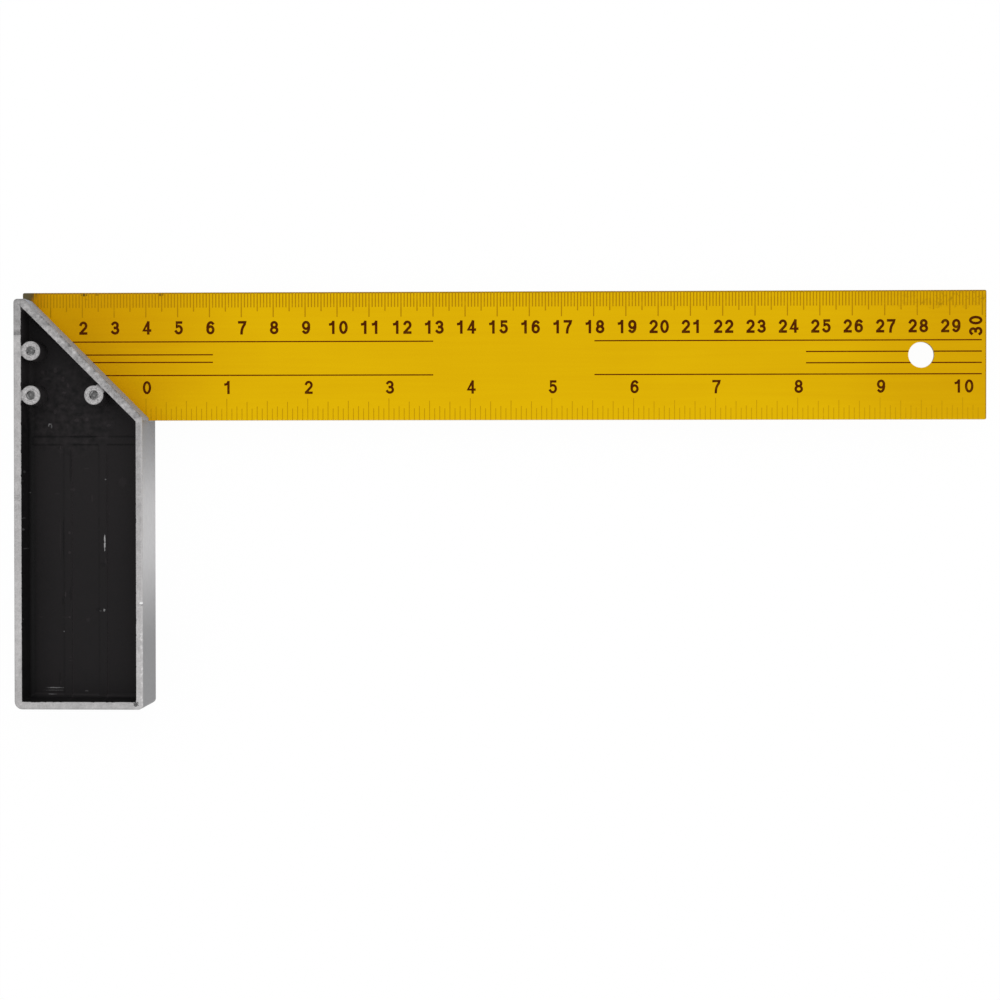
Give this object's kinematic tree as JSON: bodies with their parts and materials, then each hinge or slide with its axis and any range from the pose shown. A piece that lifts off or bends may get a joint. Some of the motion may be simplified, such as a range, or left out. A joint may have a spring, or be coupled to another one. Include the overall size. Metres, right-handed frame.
{
  "type": "try and mitre square",
  "caption": "Fixed try-and-mitre square: a graduated steel blade riveted at right angles into a pocketed die-cast stock that has a 45 degree mitre face.",
  "frame": {"origin": "the inner corner of the square: where the blade's inner edge leaves the stock's working face, halfway through the stock's thickness", "axes": "+X along the blade from the stock to the tip, +Y across the blade to its outer edge, +Z through the thickness, out of the front face"},
  "size_m": [0.3005, 0.1296, 0.02],
  "materials": {
    "stock_casting": "die-cast aluminium, ground bare on the rim and the outer faces, matt black paint in both pockets",
    "blade_lacquer": "semi-gloss yellow lacquer on hardened steel, edges ground bare",
    "rivet_steel": "peened ends, dull"
  },
  "bodies": {
    "root": {"stock": "stock_casting", "blade": "blade_lacquer", "rivet_outer_upper": "rivet_steel", "rivet_outer_lower": "rivet_steel", "rivet_inner": "rivet_steel"}
  },
  "joints": []
}
